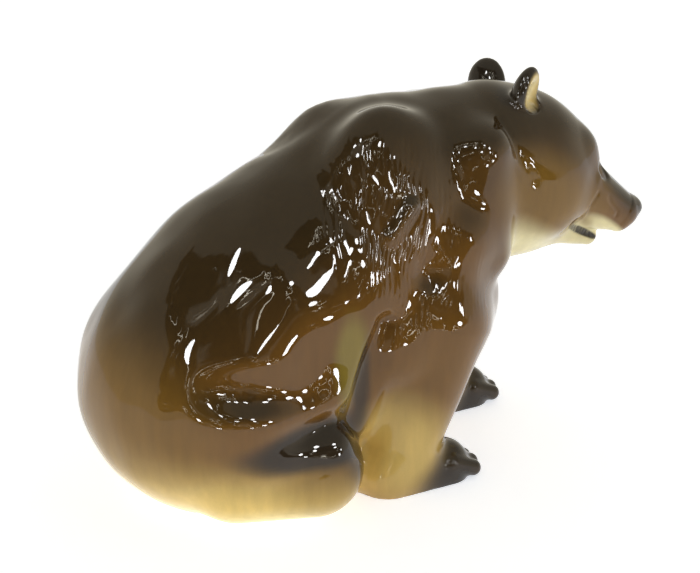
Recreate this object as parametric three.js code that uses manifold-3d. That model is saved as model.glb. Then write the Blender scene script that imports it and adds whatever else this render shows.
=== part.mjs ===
// A seated bear in glazed porcelain, cast in one piece with no base.
// x runs forward from the rump to the nose, y to the bear's left and z up, all in millimetres.
import * as THREE from "three";
import Module from "manifold-3d";

// Driving sizes of the figure.
const LENGTH = 250;
const CELL = LENGTH / 96;
const MOST_TRIANGLES = 9400;

// How far the left paw is set ahead of the right one, in the sketch.
const STRIDE = 46;

// The pose is written at the size of the sketch and keeps its proportions at any other length.
const SKETCH_LENGTH = 243.35;
const K = LENGTH / SKETCH_LENGTH;
const RADIANS = Math.PI / 180;

// A frame of reference: a place, then a turn about z, y and x in degrees, inside an outer frame.
function frame(place, [roll, pitch, yaw] = [0, 0, 0], outer = new THREE.Matrix4()) {
  const turn = new THREE.Euler(roll * RADIANS, pitch * RADIANS, yaw * RADIANS, "ZYX");
  const inner = new THREE.Matrix4().makeRotationFromEuler(turn);
  inner.setPosition(new THREE.Vector3(...place).multiplyScalar(K));
  return outer.clone().multiply(inner);
}

// Clay is pressed on lump by lump, each melting into what is there over its own blend width.
class Clay {
  constructor() {
    this.lumps = [];
    this.box = new THREE.Box3();
  }

  press(distance, blend, cut, balls) {
    this.lumps.push({ distance, blend: blend * K, cut });
    if (!cut) for (const ball of balls) this.box.union(ball.getBoundingBox(new THREE.Box3()));
    return this;
  }

  // An ellipsoid with its three radii along its own axes.
  ball(place, radii, { turn, within, blend = 8, cut = false } = {}) {
    const own = frame(place, turn, within);
    const inverse = own.clone().invert().elements;
    const [rx, ry, rz] = radii.map((r) => r * K);
    const centre = new THREE.Vector3().setFromMatrixPosition(own);
    const distance = (x, y, z) => {
      const px = inverse[0] * x + inverse[4] * y + inverse[8] * z + inverse[12];
      const py = inverse[1] * x + inverse[5] * y + inverse[9] * z + inverse[13];
      const pz = inverse[2] * x + inverse[6] * y + inverse[10] * z + inverse[14];
      const inside = Math.hypot(px / rx, py / ry, pz / rz);
      const slope = Math.hypot(px / (rx * rx), py / (ry * ry), pz / (rz * rz));
      return slope > 1e-9 ? (inside * (inside - 1)) / slope : -Math.min(rx, ry, rz);
    };
    return this.press(distance, blend, cut, [new THREE.Sphere(centre, Math.max(rx, ry, rz))]);
  }

  // A tapering round limb from one point to another.
  limb(from, to, startRadius, endRadius, { within, blend = 8, cut = false } = {}) {
    const outer = within ?? new THREE.Matrix4();
    const a = new THREE.Vector3(...from).multiplyScalar(K).applyMatrix4(outer);
    const b = new THREE.Vector3(...to).multiplyScalar(K).applyMatrix4(outer);
    const run = b.clone().sub(a);
    const squared = run.lengthSq();
    const distance = (x, y, z) => {
      const dx = x - a.x, dy = y - a.y, dz = z - a.z;
      const t = Math.min(1, Math.max(0, (dx * run.x + dy * run.y + dz * run.z) / squared));
      const radius = (startRadius + (endRadius - startRadius) * t) * K;
      return Math.hypot(dx - run.x * t, dy - run.y * t, dz - run.z * t) - radius;
    };
    const ends = [new THREE.Sphere(a, startRadius * K), new THREE.Sphere(b, endRadius * K)];
    return this.press(distance, blend, cut, ends);
  }

  // How far a point is from the clay's surface: below zero inside.
  at(x, y, z) {
    let d = 1e3;
    for (const lump of this.lumps) {
      const side = lump.cut ? -1 : 1;
      const a = side * d;
      const b = lump.distance(x, y, z);
      const h = Math.max(0, 1 - Math.abs(a - b) / lump.blend);
      d = side * (Math.min(a, b) - (h * h * lump.blend) / 4);
    }
    return d;
  }
}

// The trunk sits heavily on its rump, with a hollow flank and a fold of skin behind each elbow.
function trunk(clay) {
  clay.ball([-68, 0, 47], [57, 58, 53]);
  clay.ball([-44, 0, 76], [50, 49, 50], { turn: [0, -35, 0], blend: 24 });
  clay.ball([-8, 0, 94], [42, 41, 47], { blend: 24 });
  clay.ball([17, 0, 66], [34, 36, 40], { blend: 20 });
  for (const side of [-1, 1]) {
    clay.ball([-52, side * 85, 68], [36, 30, 20], { turn: [0, -25, 0], blend: 18, cut: true });
    clay.limb([-96, side * 67, 45], [-42, side * 58, 42], 4, 10, { blend: 5, cut: true });
    clay.limb([-34, side * 57, 34], [-22, side * 48, 76], 15, 5, { blend: 4, cut: true });
  }
}

function neck(clay) {
  clay.limb([6, 0, 113], [46, -3, 120], 37, 33, { blend: 16 });
  clay.ball([62, -5, 94], [22, 18, 17], { blend: 10 });
  for (const side of [-1, 1])
    clay.limb([30, side * 24 - 2, 130], [33, side * 23, 90], 13, 13, { blend: 7 });
}

// The head is carried low. Its skull is set in a frame that points down the bridge of the nose.
function head(clay) {
  const level = frame([70, -6, 112], [-9, 0, -9]);
  const skull = frame([0, 0, 0], [0, 38, 0], level);
  clay.ball([-4, 0, 1], [31, 26, 27], { within: skull, blend: 12 });
  for (const side of [-1, 1])
    clay.limb([22, side * 4, 4.5], [44, side * 3, 7], 14, 7.8, { within: skull, blend: 5 });
  clay.ball([48.5, 0, 11.5], [4.5, 7, 4], { within: skull, blend: 2 });
  clay.limb([12, 0, -14], [37, 0, -10.5], 12, 5.5, { within: skull, blend: 5 });
  for (const side of [-1, 1]) {
    clay.ball([-2, side * 13, -7], [21, 13.5, 18], { within: skull, blend: 8 });
    clay.ball([11, side * 7, 15.5], [9, 9, 9], { within: skull, blend: 6 });
    const lean = [side * -8, 22, side * 48];
    clay.ball([-10, side * 20, 33.5], [4.5, 8.5, 12], { turn: lean, within: level, blend: 3 });
  }
}

// A foreleg from the shoulder blade to the toes. Its paw is set forward by its reach and out by its
// stance, and the blade of the leg that bears the weight is pushed up.
function foreleg(clay, side, reach, stance, blade) {
  clay.ball([blade[0], side * 21, blade[1]], [21, 14, 28], { turn: [side * 8, 20, 0], blend: 10 });
  clay.limb([18 + reach * 0.5, side * 28, 98], [-4 + reach * 0.7, side * 31, 72], 16, 16, { blend: 7 });
  clay.limb([9 + reach * 0.75, side * 27, 66], [reach - 4, side * (stance - 2), 16], 24, 17, { blend: 10 });
  clay.ball([-10 + reach * 0.85, side * 36, 63], [15, 13, 16], { blend: 5 });
  clay.limb([reach - 13, side * stance, 6], [reach + 12, side * stance, 4], 12.5, 11.5, { blend: 6 });
  for (const toe of [-1.5, -0.5, 0.5, 1.5]) {
    const across = side * stance + toe * 5.5;
    clay.limb([reach + 12, across, 8], [reach + 24 - toe * toe, across, 4], 4, 3.4, { blend: 1.5 });
  }
}

// A hind leg lies folded along the ground under the swell of the haunch, with a rolled edge along the
// top of the thigh and the foot tucked in under the chest.
function hindleg(clay, side) {
  clay.ball([-81, side * 35.5, 56], [23, 20.5, 17], { turn: [0, -20, 0], blend: 8 });
  clay.limb([-78, side * 31, 22], [-50, side * 40, 21], 20, 19.5, { blend: 4 });
  clay.limb([-78, side * 46, 31], [-48, side * 48, 32], 8, 9, { blend: 4 });
  clay.limb([-34, side * 24, 10], [0, side * 13, 8], 13, 9, { blend: 6 });
}

const bear = new Clay();
trunk(bear);
neck(bear);
head(bear);
foreleg(bear, -1, 0, 33, [-11, 125]);
foreleg(bear, 1, STRIDE, 25, [-14, 116]);
hindleg(bear, -1);
hindleg(bear, 1);

// The net is laid in a box this many cells wider than the lumps, since the blends swell past them.
const MARGIN = 4;

// The clay's surface as a net: one point in each cell that the surface crosses, drawn onto it.
function skin(clay, cell) {
  const grid = clay.box.clone().expandByScalar(MARGIN * cell);
  const [low, high] = [grid.min.toArray(), grid.max.toArray()];
  const n = [0, 1, 2].map((k) => Math.ceil((high[k] - low[k]) / cell) + 1);
  const at = (i, j, k) => i + n[0] * (j + n[1] * k);
  const values = new Float32Array(n[0] * n[1] * n[2]);
  for (let k = 0; k < n[2]; k++)
    for (let j = 0; j < n[1]; j++)
      for (let i = 0; i < n[0]; i++)
        values[at(i, j, k)] = clay.at(low[0] + i * cell, low[1] + j * cell, low[2] + k * cell);
  const corners = [0, 1, 2, 3, 4, 5, 6, 7].map((c) => [c & 1, (c >> 1) & 1, c >> 2]);
  const points = [];
  const cellPoint = new Int32Array(values.length).fill(-1);
  for (let k = 0; k < n[2] - 1; k++)
    for (let j = 0; j < n[1] - 1; j++)
      for (let i = 0; i < n[0] - 1; i++) {
        const v = corners.map(([a, b, c]) => values[at(i + a, j + b, k + c)]);
        let count = 0;
        const sum = [0, 0, 0];
        for (let c = 0; c < 8; c++)
          for (let axis = 0; axis < 3; axis++) {
            const other = c | (1 << axis);
            if (other === c || v[c] < 0 === v[other] < 0) continue;
            const t = v[c] / (v[c] - v[other]);
            corners[c].forEach((x, m) => (sum[m] += x + (m === axis ? t : 0)));
            count++;
          }
        if (!count) continue;
        cellPoint[at(i, j, k)] = points.length;
        points.push([i, j, k].map((x, m) => low[m] + (x + sum[m] / count) * cell));
      }
  const triangles = [];
  const step = [[1, 0, 0], [0, 1, 0], [0, 0, 1]];
  for (let k = 1; k < n[2] - 1; k++)
    for (let j = 1; j < n[1] - 1; j++)
      for (let i = 1; i < n[0] - 1; i++)
        for (let axis = 0; axis < 3; axis++) {
          const [a, b] = [step[(axis + 1) % 3], step[(axis + 2) % 3]];
          const inside = values[at(i, j, k)] < 0;
          const next = step[axis];
          if (inside === values[at(i + next[0], j + next[1], k + next[2])] < 0) continue;
          const q = [[1, 1], [0, 1], [0, 0], [1, 0]].map(([s, t]) =>
            cellPoint[at(i - s * a[0] - t * b[0], j - s * a[1] - t * b[1], k - s * a[2] - t * b[2])]);
          if (!inside) q.reverse();
          triangles.push([q[0], q[1], q[2]], [q[0], q[2], q[3]]);
        }
  return { points, triangles };
}

// Where two sheets of the net touch at one point, each is given its own point, drawn back a little.
function unpinch({ points, triangles }) {
  const BACK = 0.1;
  const fans = points.map(() => []);
  for (const corners of triangles) for (const v of corners) fans[v].push(corners);
  fans.forEach((fan, v) => {
    const left = new Set(fan);
    const sheets = [];
    for (const first of fan) {
      if (!left.delete(first)) continue;
      const sheet = [first];
      for (const corners of sheet)
        for (const other of [...left])
          if (other.some((u) => u !== v && corners.includes(u)) && left.delete(other)) sheet.push(other);
      sheets.push(sheet);
    }
    if (sheets.length < 2) return;
    for (const sheet of sheets) {
      const rim = sheet.flat().filter((u) => u !== v);
      const mean = [0, 1, 2].map((k) => rim.reduce((sum, u) => sum + points[u][k], 0) / rim.length);
      points.push(points[v].map((x, k) => x + BACK * (mean[k] - x)));
      for (const corners of sheet) corners[corners.indexOf(v)] = points.length - 1;
    }
  });
  return { points, triangles };
}

// Collapses the edges that the form misses least, each merged point drawn back onto the clay.
function thin(clay, { points, triangles }, wanted) {
  const around = points.map(() => new Set());
  triangles.forEach((corners, t) => corners.forEach((v) => around[v].add(t)));
  const live = new Set(triangles.keys());
  const normal = (a, b, c) => {
    const [x, y, z] = [0, 1, 2].map((k) => b[k] - a[k]);
    const [u, v, w] = [0, 1, 2].map((k) => c[k] - a[k]);
    return [y * w - z * v, z * u - x * w, x * v - y * u];
  };
  const planes = points.map(() => new Float64Array(10));
  for (const corners of triangles) {
    const [a, b, c] = corners.map((v) => points[v]);
    const n = normal(a, b, c);
    const area = Math.hypot(...n) || 1e-12;
    const [x, y, z] = n.map((k) => k / area);
    const w = -(x * a[0] + y * a[1] + z * a[2]);
    const terms = [x * x, x * y, x * z, x * w, y * y, y * z, y * w, z * z, z * w, w * w];
    for (const v of corners) terms.forEach((term, k) => (planes[v][k] += term * area));
  }
  const miss = (q, [x, y, z]) =>
    q[0] * x * x + q[4] * y * y + q[7] * z * z + q[9] +
    2 * (q[1] * x * y + q[2] * x * z + q[3] * x + q[5] * y * z + q[6] * y + q[8] * z);
  const settle = (p) => {
    const h = 0.05;
    for (let turn = 0; turn < 2; turn++) {
      const d = clay.at(...p);
      const slope = [0, 1, 2].map((k) => {
        const q = [...p];
        q[k] += h;
        return (clay.at(...q) - d) / h;
      });
      const steep = Math.max(0.25, slope.reduce((sum, g) => sum + g * g, 0));
      p = p.map((x, k) => x - (slope[k] * d) / steep);
    }
    return p;
  };
  const neighbours = (v) => new Set([...around[v]].flatMap((t) => triangles[t].filter((u) => u !== v)));
  while (live.size > wanted) {
    const edges = [];
    for (const t of live)
      for (let k = 0; k < 3; k++) {
        const [a, b] = [triangles[t][k], triangles[t][(k + 1) % 3]];
        if (a > b) continue;
        const middle = points[a].map((x, m) => (x + points[b][m]) / 2);
        const q = planes[a].map((x, m) => x + planes[b][m]);
        const long = points[a].reduce((sum, x, m) => sum + (x - points[b][m]) ** 2, 0);
        edges.push({ a, b, q, middle, cost: miss(q, middle) + long * long * 1e-5 });
      }
    edges.sort((one, other) => one.cost - other.cost);
    edges.length = Math.ceil(edges.length * 0.35);
    const touched = new Uint8Array(points.length);
    const before = live.size;
    for (const { a, b, q, middle } of edges) {
      if (live.size <= wanted) break;
      if (touched[a] || touched[b]) continue;
      const near = neighbours(a);
      if ([...neighbours(b)].filter((v) => near.has(v)).length !== 2) continue;
      const drawn = settle(middle);
      const strayed = Math.hypot(...drawn.map((x, k) => x - middle[k]));
      const place = strayed < CELL / 2 ? drawn : middle;
      const folds = [a, b].some((v) =>
        [...around[v]].some((t) => {
          const corners = triangles[t];
          if (corners.includes(a) && corners.includes(b)) return false;
          const old = normal(...corners.map((u) => points[u]));
          const now = normal(...corners.map((u) => (u === v ? place : points[u])));
          const turned = old[0] * now[0] + old[1] * now[1] + old[2] * now[2];
          const [before, after] = [Math.hypot(...old), Math.hypot(...now)];
          return after < 0.1 * before || turned < 0.3 * before * after;
        }));
      if (folds) continue;
      for (const v of near) touched[v] = 1;
      for (const v of neighbours(b)) touched[v] = 1;
      for (const t of [...around[b]]) {
        const corners = triangles[t];
        if (corners.includes(a)) {
          live.delete(t);
          corners.forEach((v) => around[v].delete(t));
          continue;
        }
        corners[corners.indexOf(b)] = a;
        around[a].add(t);
      }
      around[b].clear();
      points[a] = place;
      planes[a] = q;
    }
    if (live.size === before) break;
  }
  return { points, triangles: [...live].map((t) => triangles[t]) };
}

// A closed body from points and triangles, with the points that no triangle uses left out.
function body({ Manifold, Mesh }, { points, triangles }) {
  const places = new Map();
  for (const v of triangles.flat()) if (!places.has(v)) places.set(v, places.size);
  return new Manifold(new Mesh({
    numProp: 3,
    vertProperties: new Float32Array([...places.keys()].flatMap((v) => points[v])),
    triVerts: new Uint32Array(triangles.flat().map((v) => places.get(v))),
  }));
}

const kernel = await Module();
kernel.setup();
const thinned = thin(bear, unpinch(skin(bear, CELL)), MOST_TRIANGLES);

// The underside is ground flat where the bear sits. No corner is left closer to the cut than a sliver's width.
const SLIVER = LENGTH / 700;
for (const point of thinned.points) if (Math.abs(point[2]) < SLIVER) point[2] = -SLIVER;
const cast = body(kernel, thinned);
const table = new THREE.BoxGeometry(2 * LENGTH, LENGTH, LENGTH).translate(0, 0, -LENGTH / 2);
const tablePoints = [];
for (let v = 0; v < table.attributes.position.count; v++)
  tablePoints.push(new THREE.Vector3().fromBufferAttribute(table.attributes.position, v).toArray());
const corners = [...new Map(tablePoints.map((p) => [p.join(), p])).values()];
const tableTriangles = [];
for (let t = 0; t < table.index.count; t += 3)
  tableTriangles.push([0, 1, 2].map((k) =>
    corners.findIndex((p) => p.join() === tablePoints[table.index.getX(t + k)].join())));
const ground = cast.subtract(body(kernel, { points: corners, triangles: tableTriangles }));

const out = ground.getMesh();
const geometry = new THREE.BufferGeometry();
geometry.setAttribute("position", new THREE.Float32BufferAttribute(Array.from(out.vertProperties), 3));
geometry.setIndex(Array.from(out.triVerts));
geometry.computeBoundingBox();
const middle = geometry.boundingBox.getCenter(new THREE.Vector3());
geometry.translate(-middle.x, -middle.y, -geometry.boundingBox.min.z);
geometry.computeVertexNormals();

const figure = new THREE.Group();
const mesh = new THREE.Mesh(geometry, new THREE.MeshStandardMaterial({ color: 0x54402a, roughness: 0.15 }));
mesh.name = "bear";
figure.add(mesh);
export default figure;
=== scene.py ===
import math

import bmesh
import bpy
import numpy as np
from mathutils import Euler, Matrix, Vector, noise


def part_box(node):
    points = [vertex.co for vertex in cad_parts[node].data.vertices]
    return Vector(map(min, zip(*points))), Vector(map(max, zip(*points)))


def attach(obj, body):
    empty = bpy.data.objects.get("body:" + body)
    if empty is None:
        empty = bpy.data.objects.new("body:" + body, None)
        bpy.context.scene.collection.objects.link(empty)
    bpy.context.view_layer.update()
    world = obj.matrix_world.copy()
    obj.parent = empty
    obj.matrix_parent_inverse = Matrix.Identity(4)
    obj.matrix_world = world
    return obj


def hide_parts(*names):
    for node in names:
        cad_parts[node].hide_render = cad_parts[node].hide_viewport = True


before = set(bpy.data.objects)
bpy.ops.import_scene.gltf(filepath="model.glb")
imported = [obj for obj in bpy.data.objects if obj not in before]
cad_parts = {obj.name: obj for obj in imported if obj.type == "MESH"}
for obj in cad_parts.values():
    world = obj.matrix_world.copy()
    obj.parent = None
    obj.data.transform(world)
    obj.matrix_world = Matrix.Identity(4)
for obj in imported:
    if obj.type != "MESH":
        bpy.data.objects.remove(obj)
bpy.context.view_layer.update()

# The bear: one hollow casting of hard porcelain, seated on its rump with its forelegs set in front of it.
# Its form is told here as lumps of clay that melt into each other, in the millimetres of a sketch. The
# sketch has its rump at RUMP_END and is as long as the solid that it is laid over.
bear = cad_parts["bear"]
low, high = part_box("bear")
SKETCH_LENGTH = 243.35
RUMP_END = -125.0
MM = (high.x - low.x) / SKETCH_LENGTH
MIDLINE = Vector((low.x - RUMP_END * MM, (low.y + high.y) / 2, low.z))
RIGHT, LEFT = -1, 1
BOTH_SIDES = (RIGHT, LEFT)
MIDDLE = (0, 0, 0)


def stand(place, turn=(0, 0, 0), within=None):
    """A frame at a place in the sketch, turned about x, y and z by degrees, inside an outer frame."""
    angles = Euler([math.radians(a) for a in turn], "XYZ")
    inner = Matrix.Translation(place) @ angles.to_matrix().to_4x4()
    return within @ inner if within else inner


class Clay:
    """Lumps pressed together, each melting into what is there over its own blend width."""

    def __init__(self):
        self.lumps = []

    def ball(self, place, radii, turn=(0, 0, 0), within=None, blend=8, cut=False):
        inverse = np.array(stand(place, turn, within).inverted())
        radii = np.array(radii, float)

        def distance(points):
            local = points @ inverse[:3, :3].T + inverse[:3, 3]
            inside = np.sqrt(((local / radii) ** 2).sum(1))
            slope = np.sqrt(((local / radii**2) ** 2).sum(1))
            return inside * (inside - 1) / np.maximum(slope, 1e-9)

        self.lumps.append((distance, blend, cut))

    def limb(self, start, end, first, last, within=None, blend=8, cut=False):
        outer = within or Matrix.Identity(4)
        a = np.array(outer @ Vector(start))
        run = np.array(outer @ Vector(end)) - a

        def distance(points):
            along = np.clip((points - a) @ run / (run @ run), 0, 1)
            away = np.sqrt(((points - a - along[:, None] * run) ** 2).sum(1))
            return away - (first + (last - first) * along)

        self.lumps.append((distance, blend, cut))

    def at(self, points):
        d = np.full(len(points), 1e3)
        for distance, blend, cut in self.lumps:
            side = -1 if cut else 1
            a, b = side * d, distance(points)
            h = np.maximum(0, 1 - np.abs(a - b) / blend)
            d = side * (np.minimum(a, b) - h * h * blend / 4)
        return d

    def slope(self, points, step=0.05):
        d = self.at(points)
        moved = [self.at(points + step * np.eye(3)[k]) - d for k in range(3)]
        return d, np.stack(moved, 1) / step


clay = Clay()


# The trunk sits heavily on its rump. The flank is hollow, and a fold of skin lies behind each elbow.
def trunk():
    rump, loins, withers, chest = (-68, 0, 47), (-44, 0, 76), (-8, 0, 94), (17, 0, 66)
    clay.ball(rump, (57, 58, 53))
    clay.ball(loins, (50, 49, 50), turn=(0, -35, 0), blend=24)
    clay.ball(withers, (42, 41, 47), blend=24)
    clay.ball(chest, (34, 36, 40), blend=20)
    for side in BOTH_SIDES:
        flank = (-52, side * 85, 68)
        groove_back, groove_front = (-96, side * 67, 45), (-42, side * 58, 42)
        groin, armpit = (-34, side * 57, 34), (-22, side * 48, 76)
        clay.ball(flank, (36, 30, 20), turn=(0, -25, 0), blend=18, cut=True)
        clay.limb(groove_back, groove_front, 4, 10, blend=5, cut=True)
        clay.limb(groin, armpit, 15, 5, blend=4, cut=True)


# The neck is thick and hangs a little in front, with a soft roll down each side where the head is turned.
def neck():
    shoulders, nape, throat = (6, 0, 113), (46, -3, 119), (62, -5, 94)
    clay.limb(shoulders, nape, 37, 31.5, blend=16)
    clay.ball(throat, (22, 18, 17), blend=10)
    for side in BOTH_SIDES:
        roll_top, roll_end = (30, side * 24 - 2, 130), (33, side * 23, 90)
        clay.limb(roll_top, roll_end, 13, 13, blend=7)


# The head is carried low and turned a little to the bear's right. Its skull has a frame that points down
# the bridge of the nose, and each ear has one of its own, with x out of the open side of the cup.
head_level = stand((70, -6, 112), (-9, 0, -9))
skull = stand(MIDDLE, (0, 38, 0), head_level)
ear_frames = [stand((-11, side * 18.3, 33.5), (side * -8, 22, side * 48), head_level) for side in BOTH_SIDES]


def head():
    crown, nose = (-5, 0, 1), (46.3, 0, 11.0)
    jaw_root, chin = (12, 0, -14.5), (36.5, 0, -9.4)
    clay.ball(crown, (30, 26, 27), within=skull, blend=12)
    for side in BOTH_SIDES:
        bridge, muzzle_end = (20, side * 4, 4.0), (42, side * 3, 6.6)
        clay.limb(bridge, muzzle_end, 13.4, 7.6, within=skull, blend=5)
    clay.ball(nose, (4.5, 6.5, 4), within=skull, blend=2)
    clay.limb(jaw_root, chin, 11.5, 4.3, within=skull, blend=4)
    for side, ear in zip(BOTH_SIDES, ear_frames):
        cheek, brow = (-2, side * 13, -7), (8, side * 6.5, 15)
        clay.ball(cheek, (21, 13.5, 18), within=skull, blend=8)
        clay.ball(brow, (8.6, 9, 8.6), within=skull, blend=6)
        clay.ball(MIDDLE, (4.5, 8.2, 12), within=ear, blend=3)


# A foreleg goes from the shoulder blade to the toes. Its paw is set forward by its reach and out by its
# stance. The blade, given by its x and z, is pushed up in the leg that bears the weight.
STRIDE = 46
FORELEGS = [(RIGHT, 0, 33, (-11, 125)), (LEFT, STRIDE, 25, (-14, 116))]
TOES = (-1.5, -0.5, 0.5, 1.5)
TOES_APART = 5.5


def foreleg(side, reach, stance, blade):
    shoulder_blade = (blade[0], side * 21, blade[1])
    shoulder, upper_arm = (18 + reach * 0.5, side * 28, 98), (-4 + reach * 0.7, side * 31, 72)
    forearm, wrist = (9 + reach * 0.75, side * 27, 66), (reach - 6, side * (stance - 2), 16)
    elbow = (-10 + reach * 0.85, side * 36, 63)
    heel, ball_of_paw = (reach - 13, side * stance, 6), (reach + 12, side * stance, 4)
    clay.ball(shoulder_blade, (21, 14, 28), turn=(side * 8, 20, 0), blend=10)
    clay.limb(shoulder, upper_arm, 16, 16, blend=7)
    clay.limb(forearm, wrist, 24, 15, blend=10)
    clay.ball(elbow, (15, 13, 16), blend=5)
    clay.limb(heel, ball_of_paw, 12.5, 11.5, blend=6)
    for toe in TOES:
        across = side * stance + toe * TOES_APART
        knuckle, tip = (reach + 12, across, 8), (reach + 24 - toe * toe, across, 4)
        clay.limb(knuckle, tip, 4, 3.4, blend=1.5)


# A hind leg lies folded along the ground under the swell of the haunch, with a rolled edge along the top
# of the thigh and the foot tucked in under the chest.
def hindleg(side):
    haunch = (-81, side * 35.5, 56)
    hip, knee = (-78, side * 31, 22), (-50, side * 40, 21)
    roll_back, roll_front = (-78, side * 46, 31), (-48, side * 48, 32)
    ankle, foot = (-34, side * 24, 10), (0, side * 13, 8)
    clay.ball(haunch, (23, 20.5, 17), turn=(0, -20, 0), blend=8)
    clay.limb(hip, knee, 20, 19.5, blend=4)
    clay.limb(roll_back, roll_front, 8, 9, blend=4)
    clay.limb(ankle, foot, 13, 9, blend=6)


trunk()
neck()
head()
for leg in FORELEGS:
    foreleg(*leg)
for side in BOTH_SIDES:
    hindleg(side)

# The face and ears are finer than the solid's: the ears are cupped, the eyes sit deep beside the bridge of
# the nose, the lips swell along the muzzle and the mouth is parted a little.
mouth_frames = [stand((32, side * 7.5, -9.9), (0, -10, side * -11), skull) for side in BOTH_SIDES]


def ears():
    cup = (5.2, 0, 2.5)
    for ear in ear_frames:
        clay.ball(cup, (3.6, 6.0, 8.6), within=ear, blend=1.5, cut=True)


def face():
    for side, mouth in zip(BOTH_SIDES, mouth_frames):
        lip_corner, lip_tip = (30, side * 6, -3.6), (43.5, side * 3.6, 1.4)
        socket, eye = (20.5, side * 10.5, 13), (19.6, side * 8.6, 12.1)
        nostril = (51.4, side * 3.2, 10.2)
        clay.limb(lip_corner, lip_tip, 4.0, 3.6, within=skull, blend=3)
        clay.ball(MIDDLE, (10, 4.5, 1.5), within=mouth, blend=0.8, cut=True)
        clay.ball(socket, (3.6, 3, 3), within=skull, blend=3, cut=True)
        clay.ball(eye, (2.5, 2.2, 2.2), within=skull, blend=0.6)
        clay.ball(nostril, (2.4, 1.6, 1.5), within=skull, blend=1, cut=True)


# The folds of the skin: a long soft one over the haunch, a sharp one along the thigh, the raised edge of
# the shoulder blade and the hollow in front of the shoulder.
def folds():
    for side in BOTH_SIDES:
        haunch_back, haunch_front = (-98, side * 53, 67), (-58, side * 61, 61)
        thigh_back, thigh_front = (-84, side * 62, 38), (-42, side * 59, 44)
        edge_foot, edge_top = (-17, side * 41, 109), (-8, side * 40, 119)
        shoulder_hollow = (-2, side * 51, 95)
        clay.limb(haunch_back, haunch_front, 6, 6, blend=9, cut=True)
        clay.limb(thigh_back, thigh_front, 3, 3, blend=2, cut=True)
        clay.limb(edge_foot, edge_top, 2.5, 2.5, blend=3)
        clay.ball(shoulder_hollow, (8, 8, 8), blend=4, cut=True)


ears()
face()
folds()

# The skin of the casting: the solid's own skin, remade with an even grain and laid on the lumps. It is made
# finer on the head, the right shoulder and the paws, finest at the mouth and the strokes of the fur, and
# is smoothed as with a sponge. Each fine place has its radius, and only the grain is in metres.
GRAIN = 0.0017
SLIVER = 0.08
OFF_GROUND = 0.4
FINE = [
    ((72, -6, 112), 34), ((104, -12, 92), 26), ((60, -26, 148), 20), ((66, 14, 148), 20),
    ((22, -34, 6), 22), ((66, 26, 6), 22),
    ((-14, -40, 116), 34), ((0, -44, 84), 26),
]
FINEST = [((99, -14, 92), 15), ((-16, -42, 114), 19)]

cast = bear.data.copy()
shell = bpy.data.objects.new("porcelain_bear", cast)
bpy.context.scene.collection.objects.link(shell)
work = bmesh.new()
work.from_mesh(cast)
bmesh.ops.remove_doubles(work, verts=work.verts, dist=1e-6)
work.to_mesh(cast)
work.free()
remesh = shell.modifiers.new("even grain", "REMESH")
remesh.mode = "VOXEL"
remesh.voxel_size = GRAIN
evened = bpy.data.meshes.new_from_object(shell.evaluated_get(bpy.context.evaluated_depsgraph_get()))
shell.modifiers.clear()
shell.data = evened


def places(mesh):
    flat = np.zeros(len(mesh.vertices) * 3)
    mesh.vertices.foreach_get("co", flat)
    return (flat.reshape(-1, 3) - np.array(MIDLINE)) / MM


def write(mesh, points):
    mesh.vertices.foreach_set("co", (points * MM + np.array(MIDLINE)).ravel())
    mesh.update()


def settle(points, turns):
    """Draws each point to the clay's surface, and keeps it on or above the ground."""
    for _ in range(turns):
        d, slope = clay.slope(points)
        steep = np.maximum((slope**2).sum(1), 0.25)
        points = points - slope * (d / steep)[:, None]
        points[:, 2] = np.maximum(points[:, 2], 0)
    return points


write(evened, settle(places(evened), 3))
for spheres in (FINE, FINEST):
    work = bmesh.new()
    work.from_mesh(evened)
    chosen = set()
    centres = [(MIDLINE + Vector(place) * MM, radius * MM) for place, radius in spheres]
    for edge in work.edges:
        middle = (edge.verts[0].co + edge.verts[1].co) / 2
        if any((middle - centre).length < radius for centre, radius in centres):
            chosen.add(edge)
    bmesh.ops.subdivide_edges(work, edges=list(chosen), cuts=1, use_grid_fill=True)
    bmesh.ops.triangulate(work, faces=[f for f in work.faces if len(f.verts) > 4])
    work.to_mesh(evened)
    work.free()

points = places(evened)
for _ in range(2):
    write(evened, settle(points, 2))
    work = bmesh.new()
    work.from_mesh(evened)
    free = [v for v in work.verts if v.co.z > MIDLINE.z + OFF_GROUND * MM]
    bmesh.ops.smooth_vert(work, verts=free, factor=0.5, use_axis_x=True, use_axis_y=True, use_axis_z=True)
    work.to_mesh(evened)
    work.free()
    points = places(evened)
write(evened, settle(points, 3))
work = bmesh.new()
work.from_mesh(evened)
bmesh.ops.dissolve_degenerate(work, edges=work.edges, dist=SLIVER * MM)
work.to_mesh(evened)
work.free()
points = places(evened)

# The relief in the skin: a slow swell all over the body, as a hand leaves in clay, and strokes of fur that
# are brushed down over the shoulders. They are heights in millimetres, out from the clay's surface.
SWELL, SWELL_SIZE = 0.9, (16, 16, 24)
STROKE, STROKES_APART, STROKES_LEAN = 0.17, 2.4, 0.25
WANDER, WANDER_SIZE = 2.5, (9, 9, 14)
BREAK_SIZE = (5, 5, 12)
TUFT, TUFT_SIZE = 0.3, (4, 4, 9)
slope = clay.slope(points)[1]
outward = slope / np.maximum(np.linalg.norm(slope, axis=1), 1e-6)[:, None]


def ripple(points, lengths, seed):
    shift = Vector((seed * 17.3, seed * 5.1, seed * 9.7))
    cells = points / np.array(lengths)
    return np.array([noise.noise(Vector(cell) + shift) for cell in cells])


def fade(values, start, end):
    t = np.clip((values - start) / (end - start), 0, 1)
    return t * t * (3 - 2 * t)


def near(points, place, radius):
    away = np.linalg.norm(points - np.array(place), axis=1) / radius
    return np.exp(-(away**2))


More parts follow.
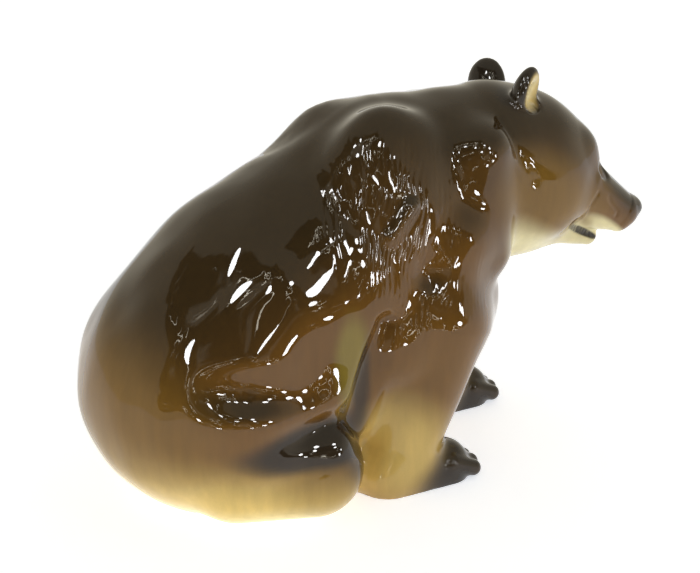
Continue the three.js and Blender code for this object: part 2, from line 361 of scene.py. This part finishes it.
right_blade, right_arm = near(points, (-18, -40, 118), 25), near(points, (2, -42, 86), 26)
left_blade, left_arm = near(points, (-20, 38, 118), 30), near(points, (20, 40, 86), 30)
brushed = np.clip((right_blade + 0.35 * right_arm) + (left_blade + 0.6 * left_arm), 0, 1)
off_head = 1 - near(points, (84, -8, 104), 34)
off_head_and_feet = off_head * np.clip((points[:, 2] - 6) / 20, 0, 1)
height = SWELL * ripple(points, SWELL_SIZE, 1) * off_head_and_feet
across = points[:, 0] - STROKES_LEAN * points[:, 2] + WANDER * ripple(points, WANDER_SIZE, 2)
broken = fade(ripple(points, BREAK_SIZE, 4), -0.3, 0.2)
height += STROKE * np.sin(2 * math.pi * across / STROKES_APART) * broken * brushed
height += TUFT * ripple(points, TUFT_SIZE, 3) * brushed * off_head_and_feet

# The wrinkles of the head, each drawn on it from the side: one from the cheek back under the ear, one that
# goes down from the eye, and one along the muzzle above the lip.
CHEEK_WRINKLE = [(-36, 4), (-23, -3.5), (-11, -8)]
EYE_WRINKLE = [(22.5, 5), (23, -1), (26, -5)]
MUZZLE_WRINKLE = [(29, 6.5), (31, 5.4), (37, 4.3), (38, 2.5)]


def crease(points, line, wide, deep):
    """A groove along a line in the skull's own x and z, alike on both sides."""
    inverse = np.array(skull.inverted())
    flat = (points @ inverse[:3, :3].T + inverse[:3, 3])[:, [0, 2]]
    away = np.full(len(points), 1e3)
    for start, end in zip(line, line[1:]):
        run = np.subtract(end, start)
        along = np.clip((flat - start) @ run / (run @ run), 0, 1)
        away = np.minimum(away, np.linalg.norm(flat - start - along[:, None] * run, axis=1))
    return -deep * np.exp(-((away / wide) ** 2))


height += crease(points, CHEEK_WRINKLE, 1.7, 1.0)
height += crease(points, EYE_WRINKLE, 0.8, 0.5)
height += crease(points, MUZZLE_WRINKLE, 0.8, 0.45)
points = points + outward * height[:, None]
points[:, 2] = np.maximum(points[:, 2], 0)

# The casting's outer size is the solid's, so what the relief has pushed past it is eased back.
SPARE = 0.1


def draw_in(values, limit, over=15):
    """Eases back what has come out past a limit, over the last few millimetres."""
    return values - max(0, values.max() - limit) * fade(values, limit - over, values.max())


for axis in range(3):
    least, most = [(corner[axis] - MIDLINE[axis]) / MM for corner in (low, high)]
    points[:, axis] = draw_in(points[:, axis], most - SPARE)
    if axis < 2:
        points[:, axis] = -draw_in(-points[:, axis], -least - SPARE)
write(evened, points)

shell.data.polygons.foreach_set("use_smooth", [True] * len(shell.data.polygons))
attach(shell, "root")
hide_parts("bear")

# The colours are airbrushed under the glaze: near black brown along the back and on the paws, mid brown on
# the flanks, straw yellow low down and cream under the jaw. Each place is a soft cloud of sprayed colour. A
# few
# clouds are painted shade: shaded straw and umber in the hollow behind each elbow, and umber in the parted
# mouth. The umber along the top of each thigh is partly its paint and partly a painted reflection of the
# dark room.
DARK_BROWN = (0.040, 0.025, 0.008)
FLANK_BROWN = (0.190, 0.088, 0.014)
CHEST_BROWN = (0.13, 0.062, 0.012)
TAN = (0.255, 0.140, 0.022)
SHADED_STRAW = (0.28, 0.21, 0.035)
STRAW = (0.88, 0.64, 0.20)
CREAM = (0.95, 0.86, 0.50)
UMBER_AND_SHADE = (0.028, 0.019, 0.011)
settled = places(evened)
sloped = clay.slope(settled)[1]
upward = sloped[:, 2] / np.maximum(np.linalg.norm(sloped, axis=1), 1e-6)
x, y, z = settled.T
paint = np.tile(np.array(FLANK_BROWN), (len(settled), 1))


def spray(colour, amount):
    amount = np.clip(amount, 0, 1)[:, None]
    paint[:] = paint * (1 - amount) + np.array(colour) * amount


def cloud(place, radii, soft=0.5, within=None):
    """One inside an ellipsoid and none outside it, with an edge as soft as that share of its radii."""
    inverse = np.array((within or Matrix.Identity(4)).inverted())
    local = settled @ inverse[:3, :3].T + inverse[:3, 3]
    away = np.sqrt((((local - np.array(place)) / np.array(radii)) ** 2).sum(1))
    return 1 - fade(away, 1 - soft, 1 + soft)


def spray_trunk():
    """Dark from above, light from below and behind."""
    rump_end = (-122, 0, 44)
    underside = 1 - fade(z + 0.18 * (x + 60), 8, 36)
    not_on_top = 1 - fade(upward, 0.1, 0.5)
    behind_flank, behind_hip = 1 - fade(x, -40, -20), 1 - fade(x, -60, -30)
    spray(DARK_BROWN, fade(upward, 0.05, 0.7) * 0.92)
    spray(DARK_BROWN, fade(z, 95, 125) * 0.5)
    spray(STRAW, underside * not_on_top * behind_flank)
    spray(TAN, cloud(rump_end, (34, 62, 30), 0.6) * 0.8)
    spray(CREAM, (1 - fade(z, 2, 16)) * behind_hip * 0.8)


def spray_legs(side, reach, stance):
    """Straw wrists over umber paws, an umber edge along the thigh that is partly a painted reflection of the
    dark room, and painted shade in the groin above it: shaded straw with a dark line in its crease.
    """
    forearm, wrist = (reach * 0.9 + 2, side * 30, 44), (reach - 12, side * stance, 20)
    paw, knee = (reach + 12, side * stance, 4), (-46, side * 56, 20)
    groin, groin_crease_shade = (-38, side * 50, 63), (-30.5, side * 44, 54)
    thigh_edge, knee_edge = (-54, side * 55, 37), (-37, side * 50, 30)
    spray(TAN, cloud(forearm, (26, 26, 34), 0.35) * 0.2)
    # Painted shade in the hollow behind the elbow: shaded straw in the groin and a dark line along its
    # crease.
    spray(SHADED_STRAW, cloud(groin, (8, 12, 20), 0.35) * 0.9)
    spray(UMBER_AND_SHADE, cloud(groin_crease_shade, (4.0, 12, 20), 0.4) * 0.8)
    spray(STRAW, cloud(wrist, (20, 24, 22), 0.5) * 0.75)
    spray(TAN, cloud(knee, (24, 18, 16), 0.5) * 0.45)
    spray(UMBER_AND_SHADE, cloud(paw, (22, 18, 12), 0.35))
    # Umber along the top of the thigh and at the knee: partly its paint, partly a painted reflection of the
    # dark room.
    spray(UMBER_AND_SHADE, cloud(thigh_edge, (33, 16, 9), 0.3) * 0.95)
    spray(UMBER_AND_SHADE, cloud(knee_edge, (10, 14, 13), 0.5) * 0.7)


def spray_head():
    """Tan cheeks, cream throat and lips, an umber bridge and nose, painted shade in the parted mouth, and
    cream cups in umber ears.
    """
    chest, cheek, throat, under_eye = (40, -14, 88), (-2, -20, -12), (4, 0, -30), (20, -10, -2)
    bridge, nose, lips, chin = (38, 0, 16), (52, 0, 11), (38, 0, -3.5), (30, 0, -13)
    behind_ear, cup = (-2, 0, 2), (4.0, 0, 2.5)
    spray(CHEST_BROWN, cloud(chest, (24, 34, 30), 0.5) * 0.8)
    spray(TAN, cloud(cheek, (26, 30, 18), 0.4, skull) * 0.85)
    spray(CREAM, cloud(throat, (34, 26, 14), 0.4, skull))
    spray(TAN, cloud(under_eye, (14, 14, 12), 0.5, skull) * 0.6)
    spray(UMBER_AND_SHADE, cloud(bridge, (22, 16, 12), 0.4, skull) * 0.9)
    spray(UMBER_AND_SHADE, cloud(nose, (7, 9, 7), 0.2, skull))
    spray(CREAM, cloud(lips, (17, 15, 4.2), 0.3, skull) * 0.9)
    spray(CREAM, cloud(chin, (16, 12, 9), 0.3, skull) * 0.85)
    # Painted shade: umber in the parting of the mouth.
    for mouth in mouth_frames:
        spray(UMBER_AND_SHADE, cloud(MIDDLE, (10.5, 8, 1.6), 0.2, mouth))
    for ear in ear_frames:
        spray(UMBER_AND_SHADE, cloud(behind_ear, (9, 11, 15), 0.25, ear))
        spray(STRAW, cloud(cup, (3.4, 5.6, 8.4), 0.2, ear))
        spray(CREAM, cloud(cup, (3.4, 4.0, 7.0), 0.2, ear) * 0.5)


spray_trunk()
for side, reach, stance, _ in FORELEGS:
    spray_legs(side, reach, stance)
spray_head()
colours = evened.color_attributes.new("sprayed_and_shaded", "FLOAT_COLOR", "POINT")
colours.data.foreach_set("color", np.hstack([paint, np.ones((len(paint), 1))]).ravel())

# The glaze is one clear wet coat over the sprayed colours, which are a little streaked and speckled. The
# streaks and speckles are counted in waves to the metre, and LIGHTEST and DARKEST multiply the colour.
STREAKS, STREAKS_LEAN = (260, 260, 40), math.radians(-20)
SPECKLES, SPECKLE_SHARE = 2500, 0.35
DARKEST, LIGHTEST = 0.9, 1.1
glaze = bpy.data.materials.new("brown underglaze")
glaze.use_nodes = True
nodes, links = glaze.node_tree.nodes, glaze.node_tree.links
shader = nodes["Principled BSDF"]
sprayed_and_shaded = nodes.new("ShaderNodeAttribute")
sprayed_and_shaded.attribute_name = "sprayed_and_shaded"
grain_place = nodes.new("ShaderNodeTexCoord")
streaks_place = nodes.new("ShaderNodeMapping")
streaks_place.inputs["Scale"].default_value = STREAKS
streaks_place.inputs["Rotation"].default_value = (0, STREAKS_LEAN, 0)
links.new(grain_place.outputs["Object"], streaks_place.inputs["Vector"])
streaks = nodes.new("ShaderNodeTexNoise")
streaks.inputs["Scale"].default_value = 1.0
streaks.inputs["Detail"].default_value = 4.0
links.new(streaks_place.outputs["Vector"], streaks.inputs["Vector"])
speckle = nodes.new("ShaderNodeTexNoise")
speckle.inputs["Scale"].default_value = SPECKLES
speckle.inputs["Detail"].default_value = 2.0
links.new(grain_place.outputs["Object"], speckle.inputs["Vector"])
both = nodes.new("ShaderNodeMath")
both.operation = "MULTIPLY_ADD"
both.inputs[1].default_value = SPECKLE_SHARE
links.new(speckle.outputs["Fac"], both.inputs[0])
links.new(streaks.outputs["Fac"], both.inputs[2])
strength = nodes.new("ShaderNodeMapRange")
strength.inputs["From Min"].default_value = SPECKLE_SHARE
strength.inputs["From Max"].default_value = 1.0
strength.inputs["To Min"].default_value = DARKEST
strength.inputs["To Max"].default_value = LIGHTEST
links.new(both.outputs["Value"], strength.inputs["Value"])
streaked = nodes.new("ShaderNodeVectorMath")
streaked.operation = "SCALE"
links.new(sprayed_and_shaded.outputs["Color"], streaked.inputs[0])
links.new(strength.outputs["Result"], streaked.inputs["Scale"])
links.new(streaked.outputs["Vector"], shader.inputs["Base Color"])
shader.inputs["Roughness"].default_value = 0.25
shader.inputs["Specular IOR Level"].default_value = 0.0
shader.inputs["Coat Weight"].default_value = 1.0
shader.inputs["Coat Roughness"].default_value = 0.015
shader.inputs["Coat IOR"].default_value = 1.48
evened.materials.clear()
evened.materials.append(glaze)

# The table: plain white paper under and behind the bear, square to the camera. Its near edge is a hand's
# length in front of the bear, so that the glaze mirrors the dim room below it. Its sizes are in metres.
AZIMUTH = math.radians(-29)
PAPER_REACH = 4
NEAR_EDGE = 0.27
table = bpy.data.meshes.new("paper")
work = bmesh.new()
bmesh.ops.create_grid(work, x_segments=1, y_segments=1, size=PAPER_REACH)
bmesh.ops.translate(work, verts=work.verts, vec=(0, PAPER_REACH - NEAR_EDGE, low.z))
bmesh.ops.rotate(work, verts=work.verts, matrix=Matrix.Rotation(AZIMUTH, 3, "Z"))
work.to_mesh(table)
work.free()
paper = bpy.data.objects.new("paper", table)
bpy.context.scene.collection.objects.link(paper)
white = bpy.data.materials.new("white paper")
white.use_nodes = True
matt = white.node_tree.nodes["Principled BSDF"]
matt.inputs["Base Color"].default_value = (0.92, 0.92, 0.92, 1)
matt.inputs["Roughness"].default_value = 0.9
matt.inputs["Emission Color"].default_value = (0.88, 0.92, 1, 1)
matt.inputs["Emission Strength"].default_value = 0.68
table.materials.append(white)

# The camera stands behind the bear's right shoulder and looks down on it. Its distance and the place that
# it looks at are in the sketch's millimetres, and one of those is PIXELS_A_MM wide there in the picture.
ELEVATION = math.radians(22)
DISTANCE = 850
AIM = MIDLINE + Vector((-5, 12, 60)) * MM
PICTURE_WIDTH = 700
PIXELS_A_MM = 2.46
RAISED_PIXELS = 20
level = math.cos(ELEVATION)
back = Vector((math.sin(AZIMUTH) * level, -math.cos(AZIMUTH) * level, math.sin(ELEVATION)))
camera = bpy.data.objects.new("camera", bpy.data.cameras.new("camera"))
camera.location = AIM + back * (DISTANCE * MM)
camera.rotation_euler = back.to_track_quat("Z", "Y").to_euler()
camera.data.lens = PIXELS_A_MM * DISTANCE / PICTURE_WIDTH * camera.data.sensor_width
camera.data.shift_y = RAISED_PIXELS / PICTURE_WIDTH
camera.data.clip_start = 0.01
bpy.context.scene.collection.objects.link(camera)
bpy.context.scene.camera = camera

# A white tent lights the bear from all round. Its open side is at the camera: there the glaze mirrors a
# dim room with a few pale things and thin bright edges in it. Each of these has its strength of light, and
# RAGGED is how unevenly the edge of the opening hangs.
TENT, HORIZON = 0.52, 0.9
ROOM, PALE_THINGS, BRIGHT_EDGES = 0.12, 0.5, 14
RAGGED = 0.13
world = bpy.data.worlds.new("tent")
world.use_nodes = True
bpy.context.scene.world = world
nodes, links = world.node_tree.nodes, world.node_tree.links
sky = nodes["Background"]
direction = nodes.new("ShaderNodeTexCoord").outputs["Generated"]


def reckon(kind, first, second=0.0):
    node = nodes.new("ShaderNodeMath")
    node.operation = kind
    for socket, value in zip(node.inputs, (first, second)):
        if isinstance(value, (int, float)):
            socket.default_value = value
        else:
            links.new(value, socket)
    return node.outputs["Value"]


def ramp(value, start, end, before, after):
    node = nodes.new("ShaderNodeMapRange")
    node.interpolation_type = "SMOOTHSTEP"
    for name, number in zip(("From Min", "From Max", "To Min", "To Max"), (start, end, before, after)):
        node.inputs[name].default_value = number
    links.new(value, node.inputs["Value"])
    return node.outputs["Result"]


def facing(vector):
    node = nodes.new("ShaderNodeVectorMath")
    node.operation = "DOT_PRODUCT"
    links.new(direction, node.inputs[0])
    node.inputs[1].default_value = vector
    return node.outputs["Value"]


def clutter(scale, detail):
    node = nodes.new("ShaderNodeTexNoise")
    node.inputs["Scale"].default_value = scale
    node.inputs["Detail"].default_value = detail
    links.new(direction, node.inputs["Vector"])
    return node.outputs["Fac"]


# The opening's edges as seen from the bear: each an (across, up, offset) that stays above zero inside it.
OPENING = [
    (1, 0, 0.75), (0, -1, 0.74), (-0.65, -0.76, 0.65), (0, 1, 0.67),
    (0.69, 0.72, 0.72), (-1, 0, 0.95), (0, 0, 1),
]
across_view = Vector((math.cos(AZIMUTH), math.sin(AZIMUTH), 0))
up_view = back.cross(across_view)
inside = facing(back)
for aside, above, offset in OPENING:
    inside = reckon("MINIMUM", inside, reckon("ADD", facing(aside * across_view + above * up_view), offset))
inside = reckon("ADD", inside, reckon("MULTIPLY", reckon("SUBTRACT", clutter(5, 4), 0.5), RAGGED))
opening = ramp(inside, 0.0, 0.015, 0.0, 1.0)
well_inside = ramp(inside, 0.04, 0.10, 0.0, 1.0)
pale = ramp(clutter(3.4, 5), 0.56, 0.62, 0.0, PALE_THINGS)
from_edge = reckon("ABSOLUTE", reckon("SUBTRACT", clutter(7, 3), 0.5))
thin = ramp(from_edge, 0.004, 0.014, BRIGHT_EDGES, 0.0)
here_and_there = ramp(clutter(4.3, 1), 0.5, 0.6, 0.0, 1.0)
edges = reckon("MULTIPLY", thin, here_and_there)
room = reckon("ADD", reckon("MULTIPLY", reckon("ADD", pale, edges), well_inside), ROOM)
cloth = ramp(facing((0, 0, 1)), 0.0, 0.6, HORIZON, TENT)
tent = reckon("MULTIPLY", reckon("SUBTRACT", 1.0, opening), cloth)
links.new(reckon("ADD", tent, reckon("MULTIPLY", opening, room)), sky.inputs["Strength"])
sky.inputs["Color"].default_value = (1.0, 0.94, 0.78, 1)

# The small lamps that the glaze mirrors stand round the bear on the open side of the tent. Each is so many
# degrees across and up from the camera, and so many degrees wide and high as the bear sees it.
LAMPS = [
    (-22, 43, 4, 8), (-13, 30, 5, 9), (23, 28, 5, 4), (-26, 14, 5, 9), (1, 22, 3, 6),
    (17, 6, 6, 4), (42, 6, 4, 6), (55, -20, 6, 5), (39, 18, 5, 7), (-28, -21, 5, 6),
    (-12, -37, 8, 4), (62, -6, 4, 7), (66, -30, 4, 8), (38, -32, 5, 4),
]
LAMP_RADIANCE = 30
LAMP_DISTANCE = 1.1
for number, (aside, above, wide, high_up) in enumerate(LAMPS):
    lamp = bpy.data.objects.new(f"lamp_{number}", bpy.data.lights.new(f"lamp_{number}", "AREA"))
    turn = math.radians(math.hypot(aside, above))
    sideways = (across_view * aside + up_view * above).normalized()
    heading = back * math.cos(turn) + sideways * math.sin(turn)
    lamp.location = AIM + heading * LAMP_DISTANCE
    lamp.rotation_euler = heading.to_track_quat("Z", "Y").to_euler()
    lamp.data.shape = "ELLIPSE"
    lamp.data.size = LAMP_DISTANCE * math.radians(wide)
    lamp.data.size_y = LAMP_DISTANCE * math.radians(high_up)
    lamp.data.energy = LAMP_RADIANCE * math.pi * lamp.data.size * lamp.data.size_y * math.pi / 4
    lamp.visible_diffuse = False
    bpy.context.scene.collection.objects.link(lamp)
bpy.context.scene.view_settings.view_transform = "Standard"
